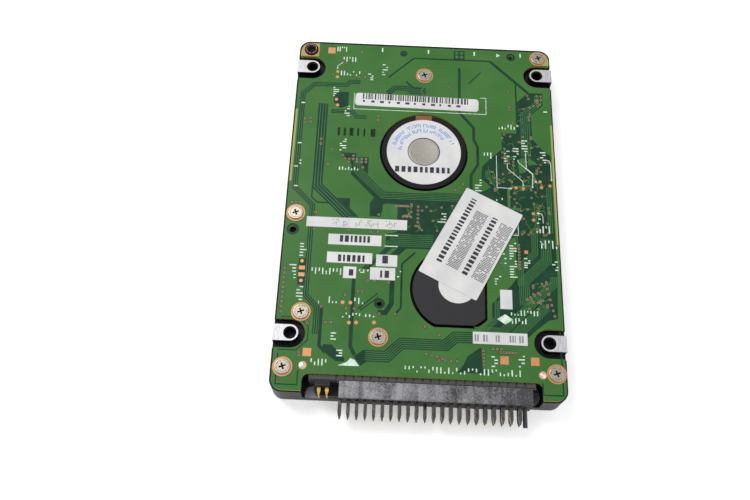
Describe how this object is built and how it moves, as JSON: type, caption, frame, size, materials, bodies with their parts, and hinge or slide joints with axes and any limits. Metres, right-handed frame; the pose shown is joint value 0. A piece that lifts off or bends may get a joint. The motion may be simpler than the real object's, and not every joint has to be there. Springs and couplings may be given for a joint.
{
  "type": "hard disk drive",
  "caption": "Small-form-factor hard disk drive with circuit board, pin header connector, spindle motor, disks and swinging head arm in a die-cast case.",
  "frame": {"origin": "centre of the cover's outer face, the face that the drive lies on", "axes": "+Z towards the circuit board, -Y towards the connector, +X to the right seen from the board side with the connector nearest"},
  "size_m": [0.0698, 0.1052, 0.0095],
  "materials": {
    "casting_black": "black electro-coat, machined lands left bare",
    "cover_metal": "satin stamped sheet",
    "label_paper": "satin self-adhesive label stock",
    "seal_rubber": "matte",
    "screw_steel": "bright zinc",
    "filter_fabric": "white felt",
    "board_green": "glass fibre laminate under glossy green solder mask",
    "film_black": "matte film",
    "chip_black": "moulded package",
    "plated_steel": "satin",
    "ceramic_tan": "satin",
    "connector_plastic": "charcoal glass-filled resin",
    "contact_metal": "thin gold over nickel",
    "copper_wire": "enamelled copper",
    "film_amber": "polyimide film",
    "magnet_nickel": "nickel plated",
    "machined_aluminium": "machined",
    "disk_mirror": "polished mirror",
    "moulded_resin": "natural resin"
  },
  "bodies": {
    "chassis": {"base_casting": "casting_black", "top_cover": "cover_metal", "cover_label": "label_paper", "cover_gasket": "seal_rubber", "cover_screws": "screw_steel", "breather_filter": "filter_fabric", "circuit_board": "board_green", "board_screws": "screw_steel", "insulator_sheet": "film_black", "controller_chip": "chip_black", "motor_driver_chip": "chip_black", "buffer_memory_chip": "chip_black", "crystal": "plated_steel", "board_capacitors": "ceramic_tan", "connector_housing": "connector_plastic", "connector_pins": "contact_metal", "jumper_pins": "contact_metal", "bar_label": "label_paper", "number_labels": "label_paper", "service_label": "label_paper", "pivot_sticker": "label_paper", "bearing_sleeve": "plated_steel", "motor_cap": "plated_steel", "stator_core": "plated_steel", "stator_coils": "copper_wire", "motor_flex": "film_amber", "motor_label": "label_paper", "pivot_shaft": "plated_steel", "pivot_screw": "screw_steel", "flex_loop": "film_amber", "flex_bracket": "plated_steel", "head_connector": "connector_plastic", "upper_yoke": "plated_steel", "lower_yoke": "plated_steel", "yoke_magnets": "magnet_nickel", "yoke_posts": "machined_aluminium", "chamber_screws": "screw_steel", "crash_stops": "seal_rubber", "latch_post": "plated_steel", "load_ramp": "moulded_resin", "recirculation_filter": "filter_fabric", "desiccant_pack": "filter_fabric"},
    "rotor": {"rotor_hub": "machined_aluminium", "spindle_shaft": "plated_steel", "rotor_magnet": "magnet_nickel", "upper_platter": "disk_mirror", "lower_platter": "disk_mirror", "platter_spacer": "machined_aluminium", "disk_clamp": "machined_aluminium", "clamp_screw": "screw_steel"},
    "actuator": {"arm_block": "machined_aluminium", "coil_fork": "moulded_resin", "voice_coil": "copper_wire", "pivot_sleeve": "plated_steel", "pivot_bearings": "plated_steel", "suspensions": "plated_steel", "head_sliders": "ceramic_tan", "arm_flex": "film_amber", "preamp_chip": "chip_black"},
    "latch": {"latch_lever": "moulded_resin"}
  },
  "joints": [
    {"name": "spindle_spin", "type": "hinge", "parent": "chassis", "child": "rotor", "pos_m": [0.0002, 0.0152, 0.005], "axis": [0, 0, 1], "continuous": true},
    {"name": "actuator_swing", "type": "hinge", "parent": "chassis", "child": "actuator", "pos_m": [0.00905, -0.0221, 0.004], "axis": [0, 0, 1], "range_deg": [-35.4, 0], "deforming": ["flex_loop"]},
    {"name": "latch_swing", "type": "hinge", "parent": "chassis", "child": "latch", "pos_m": [0.0257, -0.0394, 0.0035], "axis": [0, 0, 1], "range_deg": [0, 14]}
  ]
}
